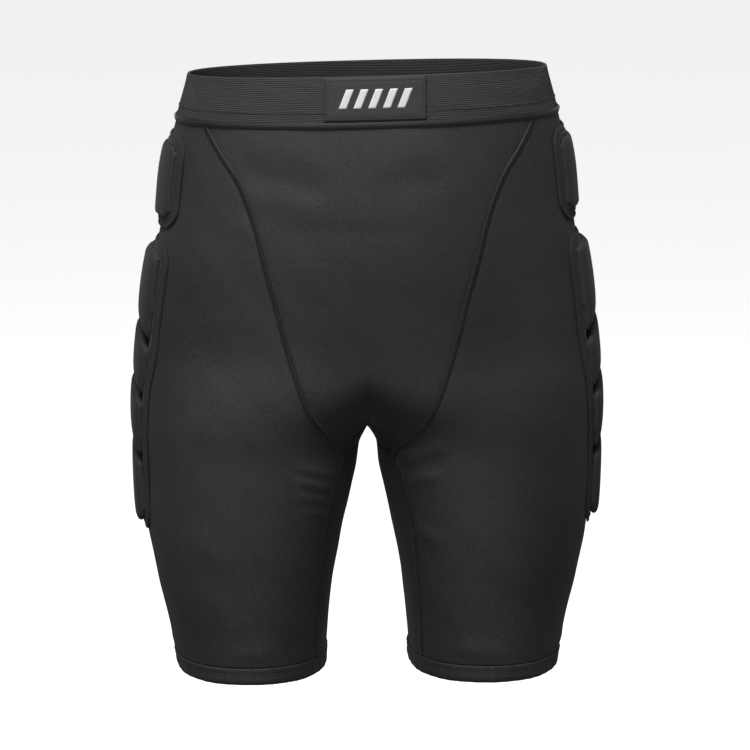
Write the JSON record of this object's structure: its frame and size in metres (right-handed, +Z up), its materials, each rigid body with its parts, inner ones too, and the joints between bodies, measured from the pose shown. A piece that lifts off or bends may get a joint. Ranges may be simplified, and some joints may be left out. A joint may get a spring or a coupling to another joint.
{
  "type": "padded impact shorts",
  "caption": "Close-fitting thigh-length impact shorts with foam pads at the hips, thighs and tailbone, an elastic waistband and legs that swing at the hips.",
  "frame": {"origin": "centre of the waist opening at its top rim", "axes": "+Z up, through the waist opening; -Y is the front; +X is the wearer's left"},
  "size_m": [0.3952, 0.2463, 0.503],
  "materials": {
    "stretch_fabric": "matte knit with a soft sheen",
    "waist_elastic": "finely ribbed elastic",
    "label_weave": "smooth woven patch",
    "seam_thread": "flatlock thread",
    "thread": "polyester thread",
    "pad_foam": "foam with a bonded knit face",
    "pad_backing": "thin knit",
    "pad_binding": "stitched tape"
  },
  "bodies": {
    "hips": {"crotch_gusset": "stretch_fabric", "front_panel": "stretch_fabric", "left_back_seam": "seam_thread", "left_front_seam": "seam_thread", "left_hip_flex_fabric": "stretch_fabric", "left_hip_panel": "stretch_fabric", "left_upper_hip_pad_backing": "pad_backing", "left_upper_hip_pad_binding": "pad_binding", "left_upper_hip_pad_foam": "pad_foam", "right_back_seam": "seam_thread", "right_front_seam": "seam_thread", "right_hip_flex_fabric": "stretch_fabric", "right_hip_panel": "stretch_fabric", "right_upper_hip_pad_backing": "pad_backing", "right_upper_hip_pad_binding": "pad_binding", "right_upper_hip_pad_foam": "pad_foam", "seat_panel": "stretch_fabric", "tailbone_pad_backing": "pad_backing", "tailbone_pad_binding": "pad_binding", "tailbone_pad_foam_1": "pad_foam", "tailbone_pad_foam_2": "pad_foam", "tailbone_pad_foam_3": "pad_foam", "waist_label": "label_weave", "waist_label_stitching": "thread", "waistband_edge_tape": "waist_elastic", "waistband_elastic": "waist_elastic", "waistband_lower_stitching": "thread", "waistband_upper_stitching": "thread"},
    "left_leg": {"left_hem_band": "stretch_fabric", "left_hem_lower_stitching": "thread", "left_hem_upper_stitching": "thread", "left_inner_back_seam": "seam_thread", "left_inner_front_seam": "seam_thread", "left_inner_gusset": "stretch_fabric", "left_side_pad_backing": "pad_backing", "left_side_pad_binding": "pad_binding", "left_side_pad_foam_1": "pad_foam", "left_side_pad_foam_2": "pad_foam", "left_side_pad_foam_3": "pad_foam", "left_side_pad_foam_4": "pad_foam", "left_thigh_panel": "stretch_fabric"},
    "right_leg": {"right_hem_band": "stretch_fabric", "right_hem_lower_stitching": "thread", "right_hem_upper_stitching": "thread", "right_inner_back_seam": "seam_thread", "right_inner_front_seam": "seam_thread", "right_inner_gusset": "stretch_fabric", "right_side_pad_backing": "pad_backing", "right_side_pad_binding": "pad_binding", "right_side_pad_foam_1": "pad_foam", "right_side_pad_foam_2": "pad_foam", "right_side_pad_foam_3": "pad_foam", "right_side_pad_foam_4": "pad_foam", "right_thigh_panel": "stretch_fabric"}
  },
  "joints": [
    {"name": "left_hip_flex", "type": "hinge", "parent": "hips", "child": "left_leg", "pos_m": [0, 0.003, -0.23], "axis": [-1, 0, 0], "range_deg": [-10, 60], "deforming": ["left_hip_flex_fabric"]},
    {"name": "right_hip_flex", "type": "hinge", "parent": "hips", "child": "right_leg", "pos_m": [0, 0.003, -0.23], "axis": [-1, 0, 0], "range_deg": [-10, 60], "deforming": ["right_hip_flex_fabric"]}
  ]
}
